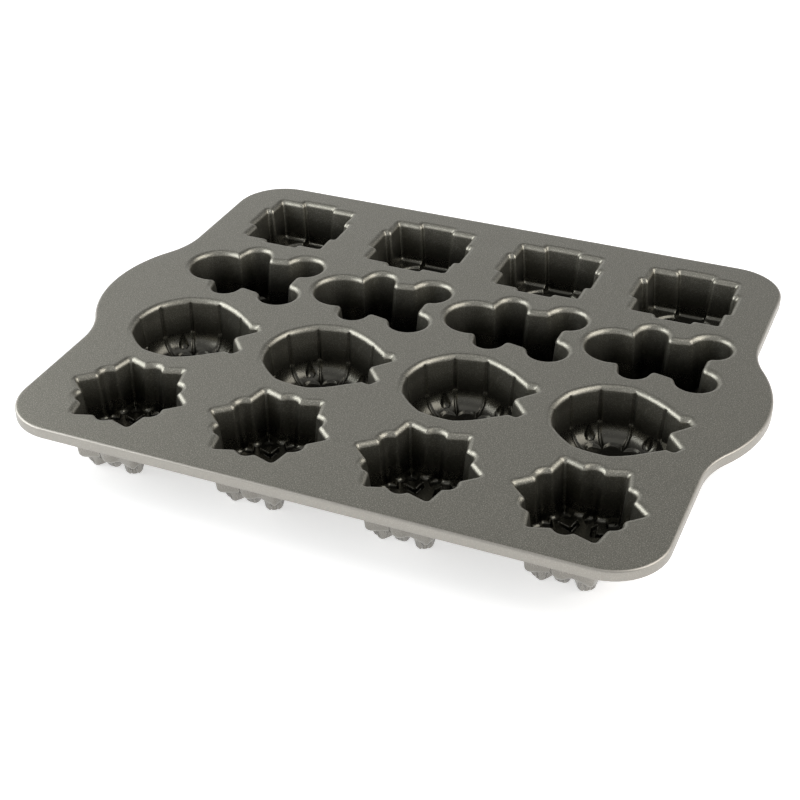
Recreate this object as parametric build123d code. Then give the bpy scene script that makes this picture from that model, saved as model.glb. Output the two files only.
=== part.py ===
from build123d import *
import math
import os

# Shaped-cake pan: one aluminium casting with a flat deck, a turned-down rim, two flat
# side handles and sixteen cups in four rows.  The casting is modelled as its regions:
# each region is a solid of its own, and neighbouring regions meet face to face.
#
# Millimetres.  Origin on the surface the pan stands on, under the middle of the pan.
# +X runs along the pan from handle to handle, +Y towards the back, +Z up.

# ---- driving dimensions ----
body_length = 363.0             # between the straight left and right edges
body_depth = 312.0              # front edge to back edge
corner_radius = 31.0
handle_reach = 20.0             # how far a handle stands out past the straight edge
handle_half_width = 68.0        # from the handle's middle to where its curve starts
handle_crest_radius = 80.0
pan_height = 37.6               # from the lowest cup to the top of the deck
wall = 2.8                      # casting thickness
rim_width = 4.0
rim_height = 6.4
rim_rounding = 1.3
handle_root = 173.0             # distance from the middle to where a handle joins the deck

column_pitch = 85.5
row_gift = 109.2                # Y of each row of cups, back to front
row_gingerbread = 38.9
row_ornament = -34.0
row_snowflake = -106.4

lip_radius = 3.4                # rounding where a cup wall turns into the deck
lip_seat = 0.4                  # deck-side edge of a cup, outside the start of the rounding
draft = math.tan(math.radians(5.0))

gift_depth = 26.0               # to the floor beside the ribbon
ribbon_half = 9.0
ribbon_sink = 4.0               # how much deeper the ribbon cross lies
gingerbread_depth = pan_height - wall
ornament_depth = 31.5
ornament_ball_radius = 35.0     # at the creases where the ball's facets meet
facet_swell = 0.65              # of a facet, beyond the straight line between its creases
creases = (44.0, 83.5, 117.3, 150.5, 181.0, 210.0, 247.0, 283.0, 318.0)
bow_depth = 24.0
snowflake_depth = 27.4          # to the floor between the diamonds
main_diamond_radius = 22.4      # from the snowflake's middle, on the pointed arms
bump_diamond_radius = 20.0      # and on the bumps between them

deck_top = pan_height
deck_underside = deck_top - wall
columns = [column_pitch * (index - 1.5) for index in range(4)]


def polar(radius, degrees, x=0.0, y=0.0):
    """The point at a radius and an angle about (x, y)."""
    angle = math.radians(degrees)
    return Vector(x + radius * math.cos(angle), y + radius * math.sin(angle))


def wall_inset(depth):
    """How far a drafted cup wall stands inside its lip at a depth."""
    return lip_radius + draft * (depth - lip_radius)


# ---- cup outlines, seen from above; inset shrinks the outline evenly ----
def gift_outline(inset):
    """A square box, with a ribbon band standing out in the middle of each side."""
    half = 28.4 - inset
    band = 13.2 - inset
    out = half + 3.6
    points = []
    for turn in range(4):
        side = [(half, -half), (half, -band), (out, -band), (out, band), (half, band)]
        points += [Vector(x, y).rotate(Axis.Z, 90 * turn) for x, y in side]
    return Wire.make_polygon(points, close=True)


def gingerbread_outline(inset):
    """A figure lying along X: round head at -X, two arms, two round legs at +X."""
    head_x, head_r = -22.5, 19.7 - inset
    arm_x, arm_y, arm_r = -6.8, 21.5, 11.0 - inset
    waist = 20.0 - inset
    leg_x, leg_y, leg_r = 28.6, 18.4, 14.8 - inset
    crotch_x = 31.0 - inset
    neck_x = arm_x - arm_r
    neck_y = math.sqrt(head_r ** 2 - (neck_x - head_x) ** 2)
    hip_x = leg_x - math.sqrt(leg_r ** 2 - (waist - leg_y) ** 2)
    crotch_y = leg_y - math.sqrt(leg_r ** 2 - (crotch_x - leg_x) ** 2)
    edges = [ThreePointArc((neck_x, -neck_y), (head_x - head_r, 0), (neck_x, neck_y))]
    for side in (1, -1):
        edges += [
            Line((neck_x, side * neck_y), (neck_x, side * arm_y)),
            ThreePointArc((neck_x, side * arm_y), (arm_x, side * (arm_y + arm_r)),
                          (arm_x + arm_r, side * arm_y)),
            Line((arm_x + arm_r, side * arm_y), (arm_x + arm_r, side * waist)),
            Line((arm_x + arm_r, side * waist), (hip_x, side * waist)),
            ThreePointArc((hip_x, side * waist), polar(leg_r, side * 55, leg_x, side * leg_y),
                          (crotch_x, side * crotch_y)),
        ]
    edges.append(Line((crotch_x, crotch_y), (crotch_x, -crotch_y)))
    return Wire(edges)


def ball_outline(inset):
    """A ball of eight slightly swelled facets, with a flat side hidden by the bow."""
    reach = ornament_ball_radius - inset
    edges = []
    for first, last in zip(creases, creases[1:]):
        middle = reach * math.cos(math.radians(last - first) / 2) + facet_swell
        edges.append(ThreePointArc(polar(reach, first), polar(middle, (first + last) / 2),
                                   polar(reach, last)))
    edges.append(Line(polar(reach, creases[-1]), polar(reach, creases[0])))
    return Wire(edges)


def bow_outline(inset):
    """The bow on top of the ball, at +X, with two loops; it starts inside the ball."""
    ball = polar(ornament_ball_radius - 2.5 - inset, 50.0)
    loop_x, loop_y, loop_r = 34.7, 11.3, 7.6 - inset
    valley = 44.3                           # slope of the valley between the loops
    valley_x = 34.0 - inset / math.sin(math.radians(valley))
    low = polar(loop_r, -90 + valley, loop_x, loop_y)
    edges = [Line((ball.X, ball.Y), (ball.X, -ball.Y))]
    for side in (-1, 1):
        edges += [
            Line((ball.X, side * ball.Y), (loop_x, side * (loop_y + loop_r))),
            ThreePointArc((loop_x, side * (loop_y + loop_r)), (loop_x + loop_r, side * loop_y),
                          (low.X, side * low.Y)),
            Line((low.X, side * low.Y), (valley_x, 0)),
        ]
    return Wire(edges)


def snowflake_outline(inset):
    """Six pointed arms, with a low round bump between each pair."""
    tip = 38.2 - inset
    shoulder = 29.9 - inset
    bump = 32.4 - inset
    edges = []
    for arm in range(6):
        middle = 60 * arm
        before = polar(shoulder, middle - 18)
        after = polar(shoulder, middle + 18)
        blunt_before = polar(tip - 1.5, middle - 4)
        blunt_after = polar(tip - 1.5, middle + 4)
        edges += [
            Line(before, blunt_before),
            ThreePointArc(blunt_before, polar(tip, middle), blunt_after),
            Line(blunt_after, after),
            ThreePointArc(after, polar(bump, middle + 30), polar(shoulder, middle + 42)),
        ]
    return Wire(edges)


# ---- cup solids ----
def stack(outline, levels):
    """A solid through one outline at several heights, given as (height, inset)."""
    sections = [outline(inset).moved(Pos(0, 0, height)) for height, inset in levels]
    return Solid.make_loft(sections, ruled=True)


def cavity(outline, walls):
    """The space in a cup.  walls lists (depth, inset) down the wall, below the lip."""
    half_lip = lip_radius * 0.3
    half_inset = math.sqrt(lip_radius ** 2 - (lip_radius - half_lip) ** 2)
    levels = [(deck_top + 1.0, 0.0), (deck_top, 0.0), (deck_top - half_lip, half_inset),
              (deck_top - lip_radius, lip_radius)]
    return stack(outline, levels + [(deck_top - depth, inset) for depth, inset in walls])


def casting(outline, walls):
    """The cup seen from outside: the same walls, one casting thickness further out."""
    levels = [(deck_top, -lip_seat), (deck_underside, -lip_seat)]
    levels += [(deck_top - depth - wall, inset - 0.9 * wall) for depth, inset in walls]
    return stack(outline, levels)


def frustum(shape, top, bottom, top_size, bottom_size):
    """A drafted block between two heights; shape(size) gives its outline."""
    upper = shape(top_size).moved(Pos(0, 0, top))
    lower = shape(bottom_size).moved(Pos(0, 0, bottom))
    return Solid.make_loft([upper, lower], ruled=True)


def gift_cup():
    """A box with its ribbon cross sunk a little below the floor."""
    floor = deck_top - gift_depth
    half = 27.0 - wall_inset(gift_depth)
    walls = [(gift_depth, wall_inset(gift_depth))]
    shell = casting(gift_outline, walls)
    space = cavity(gift_outline, walls)
    strip = Box(2 * half, 2 * ribbon_half, 2 * ribbon_sink)
    under = Box(2 * (half + wall), 2 * (ribbon_half + wall), 2 * ribbon_sink)
    for turn in (0, 90):
        space += Rot(0, 0, turn) * Pos(0, 0, floor) * strip
        shell += Rot(0, 0, turn) * Pos(0, 0, floor - wall) * under
    return shell - space


def gingerbread_cup():
    walls = [(gingerbread_depth, wall_inset(gingerbread_depth))]
    return casting(gingerbread_outline, walls) - cavity(gingerbread_outline, walls)


def ornament_cup():
    """A bowl that rounds off to a flat bottom, and a shallower bow at its top."""
    ball_walls = [(21.5, 5.0), (27.0, 6.6), (30.2, 9.6), (ornament_depth, 15.0)]
    bow_walls = [(bow_depth, wall_inset(bow_depth))]
    shell = casting(ball_outline, ball_walls) + casting(bow_outline, bow_walls)
    return shell - cavity(ball_outline, ball_walls) - cavity(bow_outline, bow_walls)


def snowflake_cup():
    """A star with a ring of diamond pockets, which show below as square knobs."""
    floor = deck_top - snowflake_depth
    walls = [(snowflake_depth, wall_inset(snowflake_depth))]
    shell = casting(snowflake_outline, walls)
    space = cavity(snowflake_outline, walls)
    for place in range(6):
        arm = Rot(0, 0, 60 * place) * Pos(main_diamond_radius, 0, 0)
        bump = Rot(0, 0, 60 * place + 30) * Pos(bump_diamond_radius, 0, 0)
        space += arm * Rot(0, 0, 45) * frustum(square, floor + 0.5, wall, 7.5, 5.5)
        space += bump * Rot(0, 0, 45) * frustum(square, floor + 0.5, wall + 1.5, 6.5, 5.0)
        shell += arm * frustum(square, floor - wall + 0.5, 0.0, 12.0, 10.6)
        shell += bump * frustum(square, floor - wall + 0.5, 1.5, 9.6, 8.4)
    return shell - space


def square(side):
    half = side / 2
    return Wire.make_polygon([(half, half), (-half, half), (-half, -half), (half, -half)], close=True)


# ---- deck, rim and handles ----
def pan_outline(inset):
    """The outline seen from above: rounded corners and a swelling at each end."""
    half_x = body_length / 2 - inset
    half_y = body_depth / 2 - inset
    corner = corner_radius - inset
    crest = handle_crest_radius - inset
    crest_x = body_length / 2 + handle_reach - handle_crest_radius
    reach_sum = (handle_half_width ** 2 + handle_reach ** 2) / (2 * handle_reach)
    hollow = reach_sum - handle_crest_radius + inset
    share = handle_crest_radius / reach_sum
    hollow_x = body_length / 2 + reach_sum - handle_crest_radius
    turn_x = crest_x + (hollow_x - crest_x) * share
    turn_y = handle_half_width * share
    unit_x = (hollow_x - crest_x) / reach_sum
    unit_y = handle_half_width / reach_sum
    turn_x -= inset * unit_x
    turn_y -= inset * unit_y
    ends = []
    for side in (1, -1):
        swing = math.atan2(handle_half_width, hollow_x - crest_x) / 2
        hollow_mid_x = hollow_x - hollow * math.cos(swing)
        hollow_mid_y = handle_half_width - hollow * math.sin(swing)
        ends.append([
            Line((side * half_x, side * -(half_y - corner)), (side * half_x, side * -handle_half_width)),
            ThreePointArc((side * half_x, side * -handle_half_width),
                          (side * hollow_mid_x, side * -hollow_mid_y),
                          (side * turn_x, side * -turn_y)),
            ThreePointArc((side * turn_x, side * -turn_y), (side * (crest_x + crest), 0),
                          (side * turn_x, side * turn_y)),
            ThreePointArc((side * turn_x, side * turn_y),
                          (side * hollow_mid_x, side * hollow_mid_y),
                          (side * half_x, side * handle_half_width)),
            Line((side * half_x, side * handle_half_width), (side * half_x, side * (half_y - corner))),
        ])
    right, left = ends
    bend = corner * math.sqrt(0.5)
    inner_x, inner_y = half_x - corner, half_y - corner
    edges = right + [
        ThreePointArc((half_x, inner_y), (inner_x + bend, inner_y + bend), (inner_x, half_y)),
        Line((inner_x, half_y), (-inner_x, half_y)),
        ThreePointArc((-inner_x, half_y), (-inner_x - bend, inner_y + bend), (-half_x, inner_y)),
    ] + left + [
        ThreePointArc((-half_x, -inner_y), (-inner_x - bend, -inner_y - bend), (-inner_x, -half_y)),
        Line((-inner_x, -half_y), (inner_x, -half_y)),
        ThreePointArc((inner_x, -half_y), (inner_x + bend, -inner_y - bend), (half_x, -inner_y)),
    ]
    return Wire(edges)


def slab(wire, bottom, top):
    return extrude(Face(wire).moved(Pos(0, 0, bottom)), top - bottom, dir=(0, 0, 1))


def edge_rim():
    rim = slab(pan_outline(0), deck_top - rim_height, deck_top)
    rim = chamfer(rim.faces().sort_by(Axis.Z)[-1].outer_wire().edges(), rim_rounding)
    return rim - slab(pan_outline(rim_width), deck_top - rim_height - 1, deck_top + 1)


def deck_and_handles(openings):
    plate = slab(pan_outline(rim_width), deck_underside, deck_top)
    root_block = Box(60, 2 * handle_half_width, 3 * wall, align=(Align.MIN, Align.CENTER, Align.CENTER))
    right_block = Pos(handle_root, 0, deck_top) * root_block
    left_block = Rot(0, 0, 180) * right_block
    right = plate & right_block
    left = plate & left_block
    deck = plate - right_block - left_block
    for opening in openings:
        deck -= opening
    return deck, left, right


# ---- assembly ----
def main():
    os.makedirs("parts", exist_ok=True)
    rows = [
        ("gift_cup", gift_cup(), [gift_outline], row_gift, -0.9),
        ("gingerbread_cup", gingerbread_cup(), [gingerbread_outline], row_gingerbread, -0.4),
        ("ornament_cup", ornament_cup(), [ball_outline, bow_outline], row_ornament, -3.0),
        ("snowflake_cup", snowflake_cup(), [snowflake_outline], row_snowflake, 1.5),
    ]
    parts = {}
    openings = []
    for name, solid, outlines, row_y, shift in rows:
        for index, column_x in enumerate(columns):
            place = Pos(column_x + shift, row_y, 0)
            parts[f"{name}_{index + 1}"] = place * solid
            for outline in outlines:
                opening = slab(outline(-lip_seat), deck_underside - 1, deck_top + 1)
                openings.append(place * opening)
    parts["edge_rim"] = edge_rim()
    parts["deck_plate"], parts["left_handle"], parts["right_handle"] = deck_and_handles(openings)
    for name, part in parts.items():
        export_step(part, f"parts/{name}.step")
        box = part.bounding_box()
        print(name, round(part.volume), box.min, box.max)


main()
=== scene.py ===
import math
import bpy
import bmesh
import numpy as np
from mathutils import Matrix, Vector


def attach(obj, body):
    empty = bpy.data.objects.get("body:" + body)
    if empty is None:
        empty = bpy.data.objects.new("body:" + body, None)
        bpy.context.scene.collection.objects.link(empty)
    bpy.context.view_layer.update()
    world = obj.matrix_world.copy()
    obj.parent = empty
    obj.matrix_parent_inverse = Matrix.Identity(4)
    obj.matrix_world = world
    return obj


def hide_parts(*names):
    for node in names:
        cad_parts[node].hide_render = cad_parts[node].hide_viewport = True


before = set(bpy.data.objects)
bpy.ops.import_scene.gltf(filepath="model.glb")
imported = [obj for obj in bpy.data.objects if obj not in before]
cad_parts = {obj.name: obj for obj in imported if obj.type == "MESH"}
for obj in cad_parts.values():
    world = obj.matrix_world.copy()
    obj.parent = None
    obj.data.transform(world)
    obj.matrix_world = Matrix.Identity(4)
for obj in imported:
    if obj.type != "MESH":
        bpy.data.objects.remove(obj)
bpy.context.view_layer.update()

# ---------------------------------------------------------------------------------------
# Studio: a plain pale floor in a white room, with one lamp panel high at the right and one
# lower at the left.  The camera looks down over the pan's front edge, from its right.
# ---------------------------------------------------------------------------------------
camera_place = Vector((0.2873, -0.6867, 0.4886))
camera_aim = Vector((0.0142, -0.0593, 0.0376))
camera_roll = math.radians(-0.77)
camera_lens = 68.455
camera_sensor = 36.0

camera_data = bpy.data.cameras.new("camera")
camera_data.lens = camera_lens
camera_data.sensor_width = camera_sensor
camera_data.clip_start = 0.01
camera_data.clip_end = 50.0
camera = bpy.data.objects.new("camera", camera_data)
camera.location = camera_place
camera.rotation_euler = (camera_aim - camera_place).to_track_quat("-Z", "Y").to_euler("XYZ")
camera.rotation_euler.rotate_axis("Z", camera_roll)
bpy.context.scene.collection.objects.link(camera)
bpy.context.scene.camera = camera
bpy.context.scene.view_settings.view_transform = "Standard"

lamp_aim = Vector((0, 0, 0.02))


def soft_light(name, place, size, glow, tint):
    """A long lamp panel that faces the pan; glow is how bright its face is."""
    lamp = bpy.data.lights.new(name, "AREA")
    lamp.shape = "RECTANGLE"
    lamp.size, lamp.size_y = size
    lamp.energy = glow * math.pi * lamp.size * lamp.size_y
    lamp.color = tint
    holder = bpy.data.objects.new(name, lamp)
    holder.location = place
    holder.rotation_euler = (lamp_aim - Vector(place)).to_track_quat("-Z", "Y").to_euler()
    bpy.context.scene.collection.objects.link(holder)


panel_glow = 3.6
warm_white, cool_white = (1.0, 0.97, 0.925), (0.98, 1.0, 1.0)
soft_light("right_panel", place=(0.98, 0.18, 0.84), size=(1.2, 1.1), glow=panel_glow, tint=warm_white)
soft_light("left_panel", place=(-0.8, -0.25, 0.5), size=(1.1, 0.6), glow=panel_glow, tint=cool_white)


class Signal:
    """A shader socket; Python's operators on it add Math nodes."""

    def __init__(self, tree, socket):
        self.tree = tree
        self.socket = socket

    def node(self, kind, settings=None, inputs=None, output=0):
        """Adds one node: its settings first, then its sockets' values or links."""
        made = self.tree.nodes.new(kind)
        for key, value in (settings or {}).items():
            if key == "stops":
                ramp = made.color_ramp
                for spot, (place, colour) in enumerate(value):
                    stop = ramp.elements[spot] if spot < 2 else ramp.elements.new(place)
                    stop.position = place
                    stop.color = (*colour, 1.0)
            else:
                setattr(made, key, value)
        for key, value in (inputs or {}).items():
            if isinstance(value, Signal):
                self.tree.links.new(value.socket, made.inputs[key])
            else:
                made.inputs[key].default_value = value
        return Signal(self.tree, made.outputs[output])

    def math(self, operation, first, second):
        return self.node("ShaderNodeMath", {"operation": operation}, {0: first, 1: second})

    def __add__(self, other):
        return self.math("ADD", self, other)

    def __radd__(self, other):
        return self.math("ADD", other, self)

    def __sub__(self, other):
        return self.math("SUBTRACT", self, other)

    def __rsub__(self, other):
        return self.math("SUBTRACT", other, self)

    def __mul__(self, other):
        return self.math("MULTIPLY", self, other)

    def __rmul__(self, other):
        return self.math("MULTIPLY", other, self)


def empty_tree(owner):
    """Clears the owner's shader nodes and gives back its tree."""
    owner.use_nodes = True
    owner.node_tree.nodes.clear()
    return owner.node_tree


def finish_tree(tree, kind, surface):
    """Joins a shader to the tree's output node."""
    output = tree.nodes.new(kind)
    tree.links.new(surface.socket, output.inputs["Surface"])


def seen_directly(start):
    """1 for rays from the camera, a reflection or a clear piece, 0 for those that light it."""
    kinds = ["Is Camera Ray", "Is Glossy Ray", "Is Transmission Ray"]
    camera_ray, glossy_ray, clear_ray = [start.node("ShaderNodeLightPath", output=kind) for kind in kinds]
    return camera_ray + glossy_ray + clear_ray


def fade(source, start_at, end_at, first=0.0, last=1.0):
    """Goes from first to last while the source goes from start_at to end_at."""
    limits = {1: start_at, 2: end_at, 3: first, 4: last}
    return source.node("ShaderNodeMapRange", inputs={"Value": source, **limits})


# Reflections see the white room darken upwards and to the right, less so at the front, and
# a bright opening straight overhead.  The numbers are parts of a direction of length 1.
room_light = 0.2
gloom_right, gloom_up = 0.87, 1.77
gloom_start, gloom_full, gloom_most = 0.12, 1.5, 0.96
front_start, front_end, front_gloom = -0.5, 0.05, 0.45
opening_start, opening_end = 0.90, 0.97

studio = bpy.data.worlds.new("studio")
bpy.context.scene.world = studio
tree = empty_tree(studio)
start = Signal(tree, None)
seen = seen_directly(start)
facing = start.node("ShaderNodeTexCoord", output="Generated")
to_right, to_back, upward = [start.node("ShaderNodeSeparateXYZ", inputs={"Vector": facing}, output=axis)
                             for axis in range(3)]
camera_ray = start.node("ShaderNodeLightPath", output="Is Camera Ray")
gloom = fade(to_right * gloom_right + upward * gloom_up, gloom_start, gloom_full, 0.0, gloom_most)
behind = fade(to_back, front_start, front_end, front_gloom, 1.0)
outside_opening = fade(upward, opening_start, opening_end, 1.0, 0.0)
reflected = (1 - camera_ray) * gloom * behind * outside_opening * seen
lit = room_light + seen * (1 - room_light) - reflected
air = start.node("ShaderNodeBackground", inputs={"Color": (1.0, 1.0, 1.0, 1.0), "Strength": lit})
finish_tree(tree, "ShaderNodeOutputWorld", air)

floor_tint = (0.85, 0.85, 0.86)
floor_glow = 0.60
floor_material = bpy.data.materials.new("studio_floor")
tree = empty_tree(floor_material)
start = Signal(tree, None)
seen = seen_directly(start)
matt = start.node("ShaderNodeBsdfDiffuse", inputs={"Color": (*floor_tint, 1.0)})
glow = start.node("ShaderNodeEmission",
                  inputs={"Color": (1.0, 1.0, 1.0, 1.0), "Strength": seen * floor_glow})
both = start.node("ShaderNodeAddShader", inputs={0: matt, 1: glow})
finish_tree(tree, "ShaderNodeOutputMaterial", both)

floor_reach = 12.0
floor_corners = [(x * floor_reach, y * floor_reach, 0) for x, y in ((-1, -1), (1, -1), (1, 1), (-1, 1))]
floor_mesh = bpy.data.meshes.new("studio_floor")
floor_mesh.from_pydata(floor_corners, [], [(0, 1, 2, 3)])
floor_mesh.materials.append(floor_material)
studio_floor = bpy.data.objects.new("studio_floor", floor_mesh)
bpy.context.scene.collection.objects.link(studio_floor)

# ---------------------------------------------------------------------------------------
# Deck plate: the flat top of the casting, between the cups.  Cast aluminium under a dark
# non-stick coating with fine metallic flecks.
# ---------------------------------------------------------------------------------------
mm = 0.001
deck_top = 37.6
casting = 2.8
lip_seat = 0.4
lip_radius = 3.4
draft_degrees = 5.0
draft = math.radians(draft_degrees)
column_pitch = 85.5
columns = [column_pitch * (index - 1.5) for index in range(4)]

# How an outline bends: its tightest bend, that bend's growth for each millimetre that the
# outline moves in, and a notch's growth.  Arcs leave a little of every side straight.
least_bend = 0.3
bend_growth, most_growth = 0.35, 1.2
notch_growth = 0.45
usable_side = 0.998
nearly_half = 0.499


def outline(corners, inset, runs=4, arc_step=9.0):
    """Points round a counter-clockwise outline of (x, y, radius) corners, moved inwards.

    Each corner gives an arc, of the nearest whole number of arc steps, and the side after it
    is cut into runs.  As the outline moves in, its outward corners tighten and its notches
    widen.
    """
    sharpest = least_bend + min(most_growth, bend_growth * max(inset, 0.0))
    spots = np.array([complex(x, y) for x, y, radius in corners])
    ways = np.roll(spots, -1) - spots
    ways /= abs(ways)
    turns = np.angle(ways / np.roll(ways, 1))
    slopes = np.tan(abs(turns) / 2)
    spots = spots + inset * 1j * (ways + np.roll(ways, 1)) / (1 + np.cos(turns))
    sides = np.maximum(((np.roll(spots, -1) - spots) / ways).real, 0.0)
    bends = np.array([radius for x, y, radius in corners])
    bends = bends - inset * np.where(turns > 0, 1.0, -notch_growth)
    trims = np.maximum(bends, sharpest) * slopes
    room = np.minimum(1.0, usable_side * sides / (trims + np.roll(trims, -1)))
    trims = trims * np.minimum(room, np.roll(room, 1))
    points = []
    for spot, turn in enumerate(turns):
        steps = max(2, math.ceil(abs(math.degrees(turn)) / arc_step - nearly_half))
        arc_start = spots[spot] - ways[spot - 1] * trims[spot]
        to_centre = 1j * ways[spot - 1] * np.sign(turn) * trims[spot] / slopes[spot]
        arc = arc_start + to_centre * (1 - np.exp(1j * turn * np.arange(steps + 1) / steps))
        ahead = (spot + 1) % len(spots)
        side_end = spots[ahead] - ways[spot] * trims[ahead]
        points += [*arc, *(arc[-1] + (side_end - arc[-1]) * np.arange(1, runs) / runs)]
    return np.column_stack([np.real(points), np.imag(points)])


def polar(radius, degrees, x=0.0, y=0.0):
    """The place at a radius and an angle about a middle."""
    angle = math.radians(degrees)
    return x + radius * math.cos(angle), y + radius * math.sin(angle)


def loop_at(points, depth):
    """Outline points as 3-D places, at a depth below the deck's top face."""
    height = np.full(len(points), deck_top - depth)
    return np.column_stack([points, height])


smooth_up_to = math.radians(50.0)


def build_mesh(name, places, faces, bare_faces):
    """A mesh from millimetre places, shaded smooth across all but its sharp edges.

    Its first faces, as many as bare_faces says, take the second material.
    """
    mesh = bpy.data.meshes.new(name)
    mesh.from_pydata((np.asarray(places) * mm).tolist(), [], faces)
    mesh.polygons.foreach_set("material_index", [int(index < bare_faces) for index in range(len(faces))])
    work = bmesh.new()
    work.from_mesh(mesh)
    bmesh.ops.recalc_face_normals(work, faces=work.faces)
    work.to_mesh(mesh)
    work.free()
    mesh.shade_smooth()
    mesh.set_sharp_from_angle(angle=smooth_up_to)
    return mesh


def loft(rings, closed=False, capped=False):
    """Quads between rings of equal length, in a closed round or with a face at each end."""
    count = len(rings[0])
    places = np.vstack(rings)
    faces = []
    layers = len(rings)
    for layer in range(layers if closed else layers - 1):
        low = layer * count
        high = ((layer + 1) % layers) * count
        for spot in range(count):
            ahead = (spot + 1) % count
            faces.append((low + spot, low + ahead, high + ahead, high + spot))
    if capped:
        last = (layers - 1) * count
        faces += [tuple(range(count))[::-1], tuple(range(last, last + count))]
    return places, faces


body_half_x = 181.5
body_half_y = 156.0
corner_radius = 31.0
handle_reach = 20.0
handle_half_width = 68.0
crest_radius = 80.0
rim_width = 4.0
edge_steps = 14


def pan_edge(inset):
    """The pan's outline: rounded corners, and a swelling at each end for the hands."""
    reach_sum = (handle_half_width ** 2 + handle_reach ** 2) / (2 * handle_reach)
    hollow_radius = reach_sum - crest_radius
    crest_x = body_half_x + handle_reach - crest_radius
    hollow_x = body_half_x + hollow_radius
    swing = math.degrees(math.atan2(handle_half_width, hollow_x - crest_x))
    inner_x = body_half_x - corner_radius
    inner_y = body_half_y - corner_radius
    shares = [step / edge_steps for step in range(edge_steps)]
    hollow = [polar(hollow_radius + inset, 180 + swing * share, hollow_x, handle_half_width)
              for share in shares]
    crest = [polar(crest_radius - inset, swing * (1 - share), crest_x, 0.0) for share in shares]
    swelling = hollow + crest
    tip = [(crest_x + crest_radius - inset, 0.0)]
    corner = [polar(corner_radius - inset, 90 * share, inner_x, inner_y) for share in shares + [1.0]]
    right = [(x, -y) for x, y in swelling] + tip + swelling[::-1] + corner
    left = [(-x, -y) for x, y in right]
    top_left = [(-x, y) for x, y in corner[::-1]]
    low_right = [(x, -y) for x, y in corner[::-1]]
    return np.array(right + top_left + left + low_right)


grain_scale, cloud_scale = 1700.0, 55.0
fleck_start, fleck_full = 0.5, 0.68
grain_relief = 0.0002
cloud_change, fleck_change, low_change = 0.12, 0.06, 0.21
# Depth shares, of the deck's height, over which a coat turns smoother and darkens into painted shade.
low_start, low_end = 0.25, 0.85


def coat(slot_name, tint, fleck_tint, roughness, metal=1.0, grain_height=0.3, fleck_share=0.5,
         painted_shade_share=1.0):
    """A cast surface, coated or bare, with fine flecks, a faint grain and cloudy roughness.

    Deep below the deck it is smoother, and its colour darkens into painted shade, with no flecks and only
    a share of its tint, for the shade that falls in deep hollows.
    """
    material = bpy.data.materials.new(slot_name)
    tree = empty_tree(material)
    start = Signal(tree, None)
    place = start.node("ShaderNodeTexCoord", output="Object")
    grain = start.node("ShaderNodeTexNoise",
                       inputs={"Vector": place, "Scale": grain_scale, "Detail": 2.0, "Roughness": 0.6})
    flecks = start.node("ShaderNodeValToRGB",
                        {"stops": [(fleck_start, (0, 0, 0)), (fleck_full, (1, 1, 1))]}, {"Fac": grain})
    clouds = start.node("ShaderNodeTexNoise",
                        inputs={"Vector": place, "Scale": cloud_scale, "Detail": 3.0, "Roughness": 0.55})
    flecked = start.node("ShaderNodeMix", {"data_type": "RGBA"},
                         {"Factor": flecks * fleck_share, 6: (*tint, 1.0), 7: (*fleck_tint, 1.0)},
                         output=2)
    height = start.node("ShaderNodeSeparateXYZ", inputs={"Vector": place}, output=2)
    depth = 1 - height * (1 / (deck_top * mm))
    low = fade(depth, low_start, low_end)
    # Painted shade: deeper down, the colour fades from the flecked tint to a darker copy of it.
    painted_shade_tint = tuple(painted_shade_share * part for part in tint)
    colour = start.node("ShaderNodeMix", {"data_type": "RGBA"},
                        {"Factor": low, 6: flecked, 7: (*painted_shade_tint, 1.0)}, output=2)
    rough = roughness + (clouds - 0.5) * cloud_change + flecks * fleck_change - low * low_change
    bump = start.node("ShaderNodeBump",
                      inputs={"Strength": grain_height, "Distance": grain_relief, "Height": grain})
    shader = start.node("ShaderNodeBsdfPrincipled",
                        inputs={"Base Color": colour, "Metallic": metal, "Roughness": rough,
                                "Normal": bump})
    finish_tree(tree, "ShaderNodeOutputMaterial", shader)
    return material


coating_tint = (0.215, 0.209, 0.181)
coating_fleck = (0.56, 0.545, 0.475)
coating_roughness = 0.38
deck_coat = coat("deck_coating", coating_tint, coating_fleck, coating_roughness, grain_height=0.7,
                 fleck_share=0.7)
plate_smooth_up_to = math.radians(30.0)


def plate_mesh(name, edge, holes=()):
    """A flat coated plate, one casting thick, between an outer edge and its holes."""
    work = bmesh.new()
    borders = []
    for loop in (edge, *holes):
        corners = [work.verts.new((x, y, deck_top)) for x, y in loop]
        borders += [work.edges.new((corners[spot - 1], corners[spot])) for spot in range(len(corners))]
    bmesh.ops.triangle_fill(work, edges=borders, use_beauty=True, use_dissolve=False)
    for face in work.faces:
        if face.normal.z < 0:
            face.normal_flip()
    upper = list(work.faces)
    lower = bmesh.ops.duplicate(work, geom=upper + borders + list(work.verts))
    pairs = lower["vert_map"]
    moved = [item for item in lower["geom"] if isinstance(item, bmesh.types.BMVert)]
    bmesh.ops.translate(work, verts=moved, vec=(0, 0, -casting))
    for face in [item for item in lower["geom"] if isinstance(item, bmesh.types.BMFace)]:
        face.normal_flip()
    for border in borders:
        first, second = border.verts
        work.faces.new((first, second, pairs[second], pairs[first]))
    bmesh.ops.recalc_face_normals(work, faces=work.faces)
    bmesh.ops.scale(work, verts=work.verts, vec=(mm, mm, mm))
    mesh = bpy.data.meshes.new(name)
    work.to_mesh(mesh)
    work.free()
    mesh.shade_smooth()
    mesh.set_sharp_from_angle(angle=plate_smooth_up_to)
    mesh.materials.append(deck_coat)
    return mesh


def add_piece(name, mesh, place=(0.0, 0.0, 0.0)):
    """Puts a mesh in the scene as a piece of the pan."""
    piece = bpy.data.objects.new(name, mesh)
    piece.location = place
    bpy.context.scene.collection.objects.link(piece)
    return piece


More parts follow.
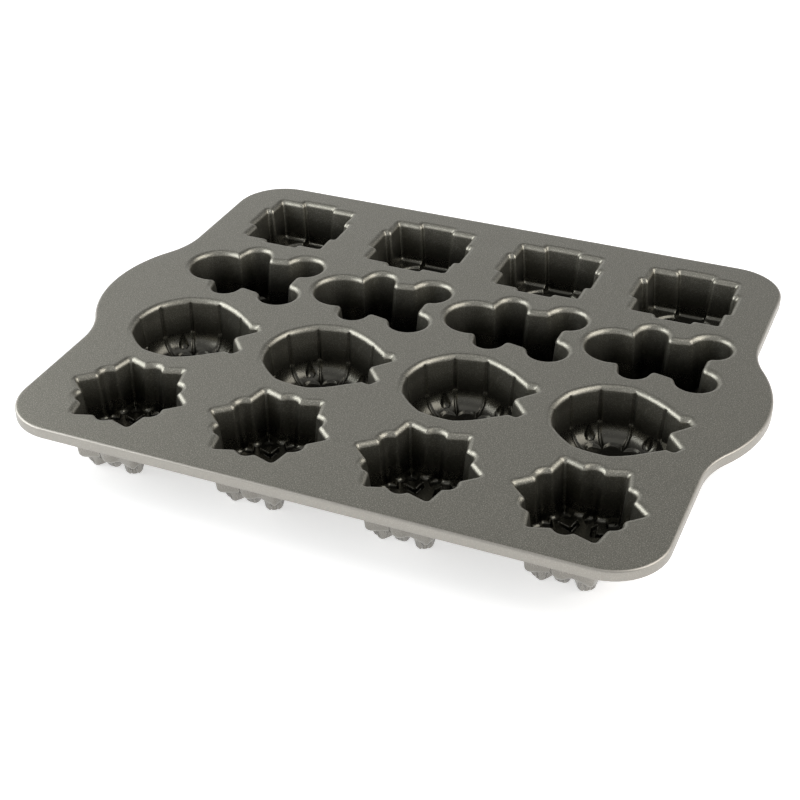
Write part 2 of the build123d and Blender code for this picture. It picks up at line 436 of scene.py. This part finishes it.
# The cups' outlines, which are also the deck's holes: corners are (x, y, radius), about the
# cup's own middle.
gift_half = 29.0
ribbon_half = 13.8
ribbon_thickness = 3.6
ribbon_face = gift_half + ribbon_thickness
gift_bend, fold_bend, ribbon_bend = 4.2, 0.4, 4.0
gift_side = [(gift_half, -gift_half, gift_bend), (gift_half, -ribbon_half, fold_bend),
             (ribbon_face, -ribbon_half, ribbon_bend), (ribbon_face, ribbon_half, ribbon_bend),
             (gift_half, ribbon_half, fold_bend)]
quarter_turns = ((1, 0), (0, 1), (-1, 0), (0, -1))
gift_corners = [(x * cos - y * sin, x * sin + y * cos, radius)
                for cos, sin in quarter_turns for x, y, radius in gift_side]


def arc_corners(x, y, radius, first, last, count):
    """Corners that round off to a circle's arc between two angles, in degrees."""
    step = (last - first) / count
    reach = radius / math.cos(math.radians(step / 2))
    return [(*polar(reach, first + step * (index + 0.5), x, y), radius) for index in range(count)]


def mirrored(corners):
    """The same corners on the other side of the cup's long axis."""
    return [(x, -y, radius) for x, y, radius in corners[::-1]]


# The figure's head lies at the left.  A bend below nothing keeps the neck as sharp as can be.
head_x, head_radius = -22.8, 20.2
arm_x, arm_y, arm_radius = -6.0, 20.7, 11.8
arm_lean = 15
neck_x, neck_bend = -18.3, -2.0
armpit_x, armpit_y, armpit_bend = 6.1, 21.3, 1.2
hip_y, hip_bend = 23.0, 2.0
leg_x, leg_y, leg_radius = 28.6, 18.4, 14.8
crotch_x, crotch_bend = 32.3, 2.6
crotch_y = leg_y - math.sqrt(leg_radius ** 2 - (crotch_x - leg_x) ** 2)
crotch_turn = math.degrees(math.atan2(crotch_y - leg_y, crotch_x - leg_x))
hip_x = leg_x - math.sqrt(leg_radius ** 2 - (hip_y - leg_y) ** 2)
hip_turn = math.degrees(math.atan2(hip_y - leg_y, hip_x - leg_x))
neck_y = math.sqrt(head_radius ** 2 - (neck_x - head_x) ** 2)
neck_turn = math.degrees(math.atan2(neck_y, neck_x - head_x))
half_figure = [(crotch_x, crotch_y, crotch_bend),
               *arc_corners(leg_x, leg_y, leg_radius, crotch_turn, hip_turn, 4),
               (hip_x, hip_y, hip_bend), (armpit_x, armpit_y, armpit_bend),
               *arc_corners(arm_x, arm_y, arm_radius, arm_lean, 180 - arm_lean, 3),
               (neck_x, neck_y, neck_bend), *arc_corners(head_x, 0, head_radius, neck_turn, 180, 2)]
gingerbread_corners = half_figure + mirrored(half_figure)

# The ball's facets meet at creases, given in degrees.  The bow, at 0 degrees, hides one more.
ball_radius = 35.0
creases = [44.0, 83.5, 117.3, 150.5, 181.0, 210.0, 247.0, 283.0, 318.0]
hidden_crease = 361.0
all_creases = [*creases, hidden_crease, creases[0] + 360]
facet_swell = 1.9
crease_bend = 0.5


def facet_corners(marks):
    """Corners of a round of facets that meet at creases and swell a little between them."""
    corners = []
    for first, last in zip(marks, marks[1:]):
        half_turn = math.radians(last - first) / 2
        half_chord = ball_radius * math.sin(half_turn)
        middle = ball_radius * math.cos(half_turn) + facet_swell
        corners.append((*polar(ball_radius, first), crease_bend))
        corners.append((*polar(middle, (first + last) / 2), half_chord ** 2 / facet_swell))
    return corners


bow_notch = (34.0, 0.0, 1.0)
half_bow = [(43.6, 11.0, 3.5), (38.3, 19.8, 4.5), (33.6, 17.9, 1.0)]
ball_end = (*polar(ball_radius, creases[-1]), 0.6)
ornament_corners = facet_corners(creases) + [ball_end, *mirrored(half_bow), bow_notch, *half_bow]
ring_step = 0.75
ring_angles = np.arange(0.0, 360.0, ring_step)


def reach_at(corners, inset, angles):
    """How far an outline lies from the ball's middle at some angles, in degrees."""
    x, y = outline(corners, inset, runs=6, arc_step=2.0).T
    turns = np.degrees(np.arctan2(y, x))
    order = np.argsort(turns)
    return np.interp(angles, turns[order], np.hypot(x, y)[order], period=360)


def facet_place(angles):
    """Each angle's place in the round of facets: 2.5 is midway over the third facet."""
    marks = np.arange(len(all_creases))
    return np.interp((angles - creases[0]) % 360 + creases[0], all_creases, marks)


mean_facet = math.radians(360 / (len(all_creases) - 1))
crease_width = 0.9
groove_depth = 1.2
groove_start = 2.9
bow_side = ball_radius + 1.0


def crease_closeness(angles, reach):
    """1 on a crease and nothing a little beside it."""
    across = facet_place(angles) % 1
    aside = np.minimum(across, 1 - across) * mean_facet * reach
    return np.exp(-(aside / crease_width) ** 2)


def ornament_outline(inset):
    """The ball and its bow as a round of even angles, with a groove down each crease."""
    reach = reach_at(ornament_corners, inset, ring_angles)
    groove = groove_depth * min(1.0, max(0.0, inset - groove_start))
    reach = reach + groove * crease_closeness(ring_angles, reach) * (reach < bow_side)
    turns = np.radians(ring_angles)
    return np.column_stack([reach * np.cos(turns), reach * np.sin(turns)])


# One arm of the star as (degrees, reach, radius): its long point between two notches, and
# the blunt point on the way to the next arm.
long_point = (0, 38.7, 4.5)
blunt_point = (30, 34.4, 8.6)
notch_turn, notch_reach, notch_bend = 18, 29.9, 0.8
snow_arm = [(-notch_turn, notch_reach, notch_bend), long_point,
            (notch_turn, notch_reach, notch_bend), blunt_point]
snowflake_corners = [(*polar(radius, 60 * arm + angle), bend)
                     for arm in range(6) for angle, radius, bend in snow_arm]


def gift_outline(inset):
    return outline(gift_corners, inset, runs=14, arc_step=18.0)


def gingerbread_outline(inset):
    return outline(gingerbread_corners, inset)


def snowflake_outline(inset):
    return outline(snowflake_corners, inset, runs=7, arc_step=4.0)


# Each row of cups: its place from front to back, its shift to the right and its outline.
cup_rows = {
    "gift": (109.2, -0.3, gift_outline),
    "gingerbread": (38.9, -0.4, gingerbread_outline),
    "ornament": (-34.0, -3.0, ornament_outline),
    "snowflake": (-106.4, 1.5, snowflake_outline),
}
cup_places = [(kind, index, column + shift, row_y) for kind, (row_y, shift, border) in cup_rows.items()
              for index, column in enumerate(columns)]
cup_holes = [cup_rows[kind][2](-lip_seat) + np.array([x, y]) for kind, index, x, y in cup_places]

# The deck ends at the rim, and at handle_root beside each handle.
handle_root = 173.0
inner_edge = pan_edge(rim_width)
inner_half_x = body_half_x - rim_width
step_in = np.array([(inner_half_x, -handle_half_width), (handle_root, -handle_half_width),
                    (handle_root, handle_half_width), (inner_half_x, handle_half_width)])
past_handles = handle_half_width + 0.01
back_edge = inner_edge[inner_edge[:, 1] > past_handles]
front_edge = inner_edge[inner_edge[:, 1] < -past_handles]
deck_edge = np.vstack([step_in, back_edge, -step_in, front_edge])
deck_plate = add_piece("deck_plate_top", plate_mesh("deck_plate_top", deck_edge, cup_holes))
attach(deck_plate, "root")
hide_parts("deck_plate")

# ---------------------------------------------------------------------------------------
# Side handles: the flat swellings at the two ends that the pan is lifted by.  They are cast
# in one with the deck and coated like it.
# ---------------------------------------------------------------------------------------
beside_handle = np.abs(inner_edge[:, 1]) <= past_handles
right_swelling = inner_edge[beside_handle & (inner_edge[:, 0] > 0)]
right_handle_edge = np.vstack([right_swelling, step_in[2], step_in[1]])
for side, handle_edge in (("right", right_handle_edge), ("left", -right_handle_edge)):
    handle_name = side + "_handle_plate"
    handle = add_piece(handle_name, plate_mesh(handle_name, handle_edge))
    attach(handle, "root")
    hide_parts(side + "_handle")

# ---------------------------------------------------------------------------------------
# Edge rim: the casting's edge, turned down all the way round to stiffen the deck.  It is
# coated on top like the deck, and bare aluminium from its rounded edge down, so it is paler.
# ---------------------------------------------------------------------------------------
rim_height = 6.4
top_round = 1.2
low_round = 0.9
strip_split = 0.9


def quarter_round(inset, depth, radius, first, last, steps=5):
    """(inset, depth) pairs along an arc; 0 degrees points outwards and 90 points down."""
    turns = [math.radians(first + (last - first) * step / steps) for step in range(steps + 1)]
    return [(inset - radius * math.cos(turn), depth + radius * math.sin(turn)) for turn in turns]


rim_section = quarter_round(top_round, top_round, top_round, -90, 0)
rim_section += quarter_round(low_round, rim_height - low_round, low_round, 0, 90)
rim_section += quarter_round(rim_width - low_round, rim_height - low_round, low_round, 90, 180)
rim_section += [(rim_width, casting), (rim_width, 0.0), (rim_width - strip_split, 0.0)]
coated_layers = 2  # the flat strip on top
rim_rings = [loop_at(pan_edge(inset), depth) for inset, depth in rim_section]
rim_mesh = build_mesh("edge_rim_roll", *loft(rim_rings, closed=True),
                      bare_faces=(len(rim_rings) - coated_layers) * len(rim_rings[0]))
bare_tint = (0.345, 0.33, 0.30)
bare_fleck = (0.50, 0.48, 0.44)
bare_roughness = 0.40
bare_metal = coat("rim_coating", bare_tint, bare_fleck, bare_roughness, metal=0.8)
rim_mesh.materials.append(deck_coat)
rim_mesh.materials.append(bare_metal)
edge_rim = add_piece("edge_rim_roll", rim_mesh)
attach(edge_rim, "root")
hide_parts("edge_rim")

# ---------------------------------------------------------------------------------------
# Gift cups: square boxes with a ribbon band down each side, and in the floor a ribbon
# cross and a round bow.  Like every cup they are thin cast shells in one with the deck,
# coated inside and bare outside.
# ---------------------------------------------------------------------------------------
# The cups' coating darkens to 0.22 of its tint deep in each cup: painted shade in the hollows.
cup_coat = coat("cup_coating", coating_tint, coating_fleck, coating_roughness, painted_shade_share=0.22)
floor_round = 2.6
root_round = 2.2
lip_turns = (0, 12, 25, 38, 51, 64, 75, 90 - draft_degrees)
root_turns = (10, 40, 70, 90)
round_steps = 6
last_ring_share = 0.3
full_form_height = 1.0


def wall_inset(depth):
    """How far a drafted cup wall stands inside its lip at a depth."""
    return lip_radius + math.tan(draft) * (depth - lip_radius)


def lip_section():
    """(inset, depth) pairs over a cup's rounded lip."""
    turns = [math.radians(turn) for turn in lip_turns]
    return [(lip_radius * math.sin(turn), lip_radius * (1 - math.cos(turn))) for turn in turns]


def inner_section(floor_depth, wall_steps=3):
    """(inset, depth) pairs over the lip, down the wall and round to the floor."""
    section = lip_section()
    wall_end = floor_depth - floor_round
    for step in range(1, wall_steps):
        depth = lip_radius + (wall_end - lip_radius) * step / wall_steps
        section.append((wall_inset(depth), depth))
    turn_in = wall_inset(wall_end) + floor_round
    return section + quarter_round(turn_in, wall_end, floor_round, draft_degrees, 90, round_steps)


def outer_section(floor_depth, wall_steps=3):
    """The same walls one casting thickness further out, from the floor up to the deck."""
    wall_end = floor_depth - floor_round
    turn_in = wall_inset(wall_end) + floor_round
    section = quarter_round(turn_in, wall_end, floor_round + casting, 90, draft_degrees, round_steps)
    root_depth = casting + root_round
    for step in range(1, wall_steps):
        depth = wall_end + (root_depth - wall_end) * step / wall_steps
        section.append((wall_inset(depth) - casting, depth))
    root_inset = wall_inset(root_depth) - casting
    for turn in root_turns:
        rise = math.sin(math.radians(turn))
        section.append((root_inset - (root_inset + lip_seat) * rise, root_depth - root_round * rise))
    return section + [(-lip_seat, 0.0)]


def cup_mesh(name, border_at, inner, outer, floor_rings=0, floor_form=None, form_height=7.0, gather=1.0):
    """A closed cup shell between its inner and outer sections.

    floor_form(x, y, grow) is how far the floor lies below its wall's foot; grow is nothing on
    the floor and one casting thickness on the underside.  It fades out up the wall over
    form_height.  With no floor rings the floor is one face, and gather above 1 draws the
    rings to the wall.  The plainer underside has half as many.
    """
    shells = []
    for section, grow in ((outer[::-1], casting), (inner, 0.0)):
        foot = section[-1][1]
        rings = []
        for inset, depth in section:
            ring = loop_at(border_at(inset), depth)
            if depth > foot - form_height:
                share = min(1.0, (depth - foot + form_height) / (form_height - full_form_height))
                ring[:, 2] -= share * floor_form(ring[:, 0], ring[:, 1], grow)
            rings.append(ring)
        border = rings[-1][:, :2]
        count = floor_rings // 2 if grow else floor_rings
        for step in range(1, count + 1):
            loop = border * (1 - (step / (count + last_ring_share)) ** gather)
            rings.append(loop_at(loop, foot + floor_form(loop[:, 0], loop[:, 1], grow)))
        shells.append(rings)
    outside, inside = shells
    bare_faces = (len(outside) - 1) * len(outside[0])
    return build_mesh(name, *loft(outside[::-1] + inside, capped=True), bare_faces)


def soft_step(inside, edge):
    """0 outside a form, 1 inside it, with a rounded slope of the given width between."""
    share = np.clip(inside / edge + 0.5, 0.0, 1.0)
    return share * share * (3 - 2 * share)


gift_floor_depth = 26.0
gift_step_width = 1.4
cross_half = 8.8
cross_sink = 3.8
bow_radius = 21.6
bow_sink = 1.4


def gift_floor(x, y, grow):
    """The ribbon cross, sunk below the quarters of the box, and the edge of the bow."""
    across = np.minimum(np.abs(x), np.abs(y))
    cross = cross_sink * soft_step(cross_half + grow - across, gift_step_width)
    bow = bow_sink * soft_step(bow_radius + grow - np.hypot(x, y), gift_step_width)
    return np.maximum(cross, bow)


def place_cups(kind, mesh):
    """Puts one row's mesh in each of its four places."""
    mesh.materials.append(cup_coat)
    mesh.materials.append(bare_metal)
    for row_kind, index, x, y in cup_places:
        if row_kind == kind:
            cup = add_piece(f"{kind}_cup_shell_{index + 1}", mesh, (x * mm, y * mm, 0.0))
            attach(cup, "root")
            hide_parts(f"{kind}_cup_{index + 1}")


place_cups("gift", cup_mesh("gift_cup", gift_outline, inner_section(gift_floor_depth),
                            outer_section(gift_floor_depth), floor_rings=48, floor_form=gift_floor))

# ---------------------------------------------------------------------------------------
# Gingerbread cups: a figure lying on its back, with a round head, two arms and two legs.
# They are the deepest cups, cast like the others, and their floor is flat.
# ---------------------------------------------------------------------------------------
figure_floor_depth = 34.8
figure_wall_steps = 5
figure_inside = inner_section(figure_floor_depth, figure_wall_steps)
figure_outside = outer_section(figure_floor_depth, figure_wall_steps)
place_cups("gingerbread", cup_mesh("gingerbread_cup", gingerbread_outline, figure_inside, figure_outside,
                                   form_height=0.0))

# ---------------------------------------------------------------------------------------
# Ornament cups: a faceted ball with a two-looped bow at its top, cast like the others.  Its
# facets run down into a round bowl, where four carry a drop, and end at a flower's petals.
# ---------------------------------------------------------------------------------------
bowl_foot = 21.5
bowl_round = 10.95
foot_inset = wall_inset(bowl_foot)
foot_reach = ball_radius - foot_inset
petal_root, petal_length, petal_fullness = 17.8, 4.6, 0.8
flower_step, flower_edge = 1.0, 0.8
bowl_groove, groove_fade = 1.0, 1.0
drop_turns = (130.0, 56.5)
drop_reach = 27.3
drop_half_width, drop_half_length, drop_sink = 3.2, 2.8, 2.4
drop_point, drop_narrowing, least_taper = -0.8, 5.0, 0.35


def ornament_floor(x, y, grow):
    """Below the foot of the wall: the ball's bowl, its creases, drops and flower."""
    angle = np.degrees(np.arctan2(y, x))
    distance = np.hypot(x, y)
    wall_reach = reach_at(facet_corners(all_creases), foot_inset, angle) + grow
    radius = bowl_round + grow
    fold = (1 - distance / wall_reach) * (foot_reach + grow)
    short = np.clip(radius * math.cos(draft) - fold, 0, radius * math.cos(draft))
    depth = np.sqrt(radius ** 2 - short ** 2) - radius * math.sin(draft)
    if grow:
        return np.maximum(depth, grow)
    petal = petal_root + petal_length * np.sin(math.pi * (facet_place(angle) % 1)) ** petal_fullness
    depth += flower_step * soft_step(petal - distance, flower_edge)
    past_petal = soft_step(distance - petal, groove_fade) * (distance < wall_reach)
    depth += bowl_groove * crease_closeness(angle, distance) * past_petal
    for degrees in drop_turns:
        for side in (1, -1):
            turn = math.radians(side * degrees)
            along = x * math.cos(turn) + y * math.sin(turn) - drop_reach
            across = y * math.cos(turn) - x * math.sin(turn)
            taper = np.clip(1.0 - (along - drop_point) / drop_narrowing, least_taper, 1.0)
            dent = 1 - (across / (drop_half_width * taper)) ** 2 - (along / drop_half_length) ** 2
            depth += drop_sink * np.sqrt(np.clip(dent, 0, 1))
    return depth


wall_levels = (7.0, 12.0, 17.0, bowl_foot)
bowl_wall = [(wall_inset(depth), depth) for depth in wall_levels]
root_bevel = (0.2, casting + 1.0)
bowl_root = [root_bevel, (-lip_seat, casting), (-lip_seat, 0.0)]
bowl_outside = [(inset - casting, depth) for inset, depth in bowl_wall[::-1]] + bowl_root
place_cups("ornament", cup_mesh("ornament_cup", ornament_outline, lip_section() + bowl_wall, bowl_outside,
                                floor_rings=44, floor_form=ornament_floor, form_height=0.0, gather=1.5))

# ---------------------------------------------------------------------------------------
# Snowflake cups: six-armed stars, cast like the others, with diamonds and chevrons sunk in
# the floor.  Rounded knobs stand under the diamonds.
# ---------------------------------------------------------------------------------------
snowflake_floor_depth = 29.0
pocket_depth = 2.4
pocket_edge = 0.55
arm_diamond = {"middle": 25.1, "half_long": 4.1, "half_wide": 4.1}
gap_diamond = {"middle": 22.8, "half_long": 5.3, "half_wide": 3.5}
chevron_tip, chevron_lean, chevron_half_band, chevron_half_wide = 11.4, 1.13, 1.9, 5.0
chevron_square = 0.66
knob_depth = deck_top - snowflake_floor_depth - casting
gap_knob_rise = 1.5
arm_knob = {"middle": 22.4, "half_side": 5.3, "drop": knob_depth}
gap_knob = {"middle": 20.0, "half_side": 4.4, "drop": knob_depth - gap_knob_rise}
knob_corner = 2.6
knob_round = 2.4


def rounded_square(along, across, half_side, corner):
    """How far inside a square with rounded corners each place lies."""
    past_x = np.maximum(np.abs(along) - (half_side - corner), 0)
    past_y = np.maximum(np.abs(across) - (half_side - corner), 0)
    inner_reach = np.maximum(np.abs(along), np.abs(across)) - (half_side - corner)
    return corner - np.where(inner_reach > 0, np.hypot(past_x, past_y), inner_reach)


def snowflake_floor(x, y, grow):
    """Above, a ring of twelve diamonds round six chevrons; below, a rounded knob under each."""
    sink = np.zeros(len(x))
    for place in range(12):
        on_arm = place % 2 == 0
        turn = math.radians(30 * place)
        outward = x * math.cos(turn) + y * math.sin(turn)
        aside = np.abs(y * math.cos(turn) - x * math.sin(turn))
        if grow:
            knob = arm_knob if on_arm else gap_knob
            inside = rounded_square(outward - knob["middle"], aside, knob["half_side"], knob_corner)
            rise = 1 - np.clip(inside / knob_round, 0, 1)
            sink = np.maximum(sink, knob["drop"] * np.sqrt(np.clip(1 - rise ** 2, 0, 1)))
            continue
        diamond = arm_diamond if on_arm else gap_diamond
        along = np.abs(outward - diamond["middle"]) / diamond["half_long"]
        inside = (1 - along - aside / diamond["half_wide"]) * diamond["half_wide"] / math.sqrt(2)
        sink = np.maximum(sink, pocket_depth * soft_step(inside, pocket_edge))
        if on_arm:
            band = chevron_half_band - np.abs(outward - aside * chevron_lean - chevron_tip)
            inside = np.minimum(band * chevron_square, chevron_half_wide - aside)
            sink = np.maximum(sink, pocket_depth * soft_step(inside, pocket_edge))
    return sink


place_cups("snowflake", cup_mesh("snowflake_cup", snowflake_outline, inner_section(snowflake_floor_depth),
                                 outer_section(snowflake_floor_depth), floor_rings=76,
                                 floor_form=snowflake_floor))
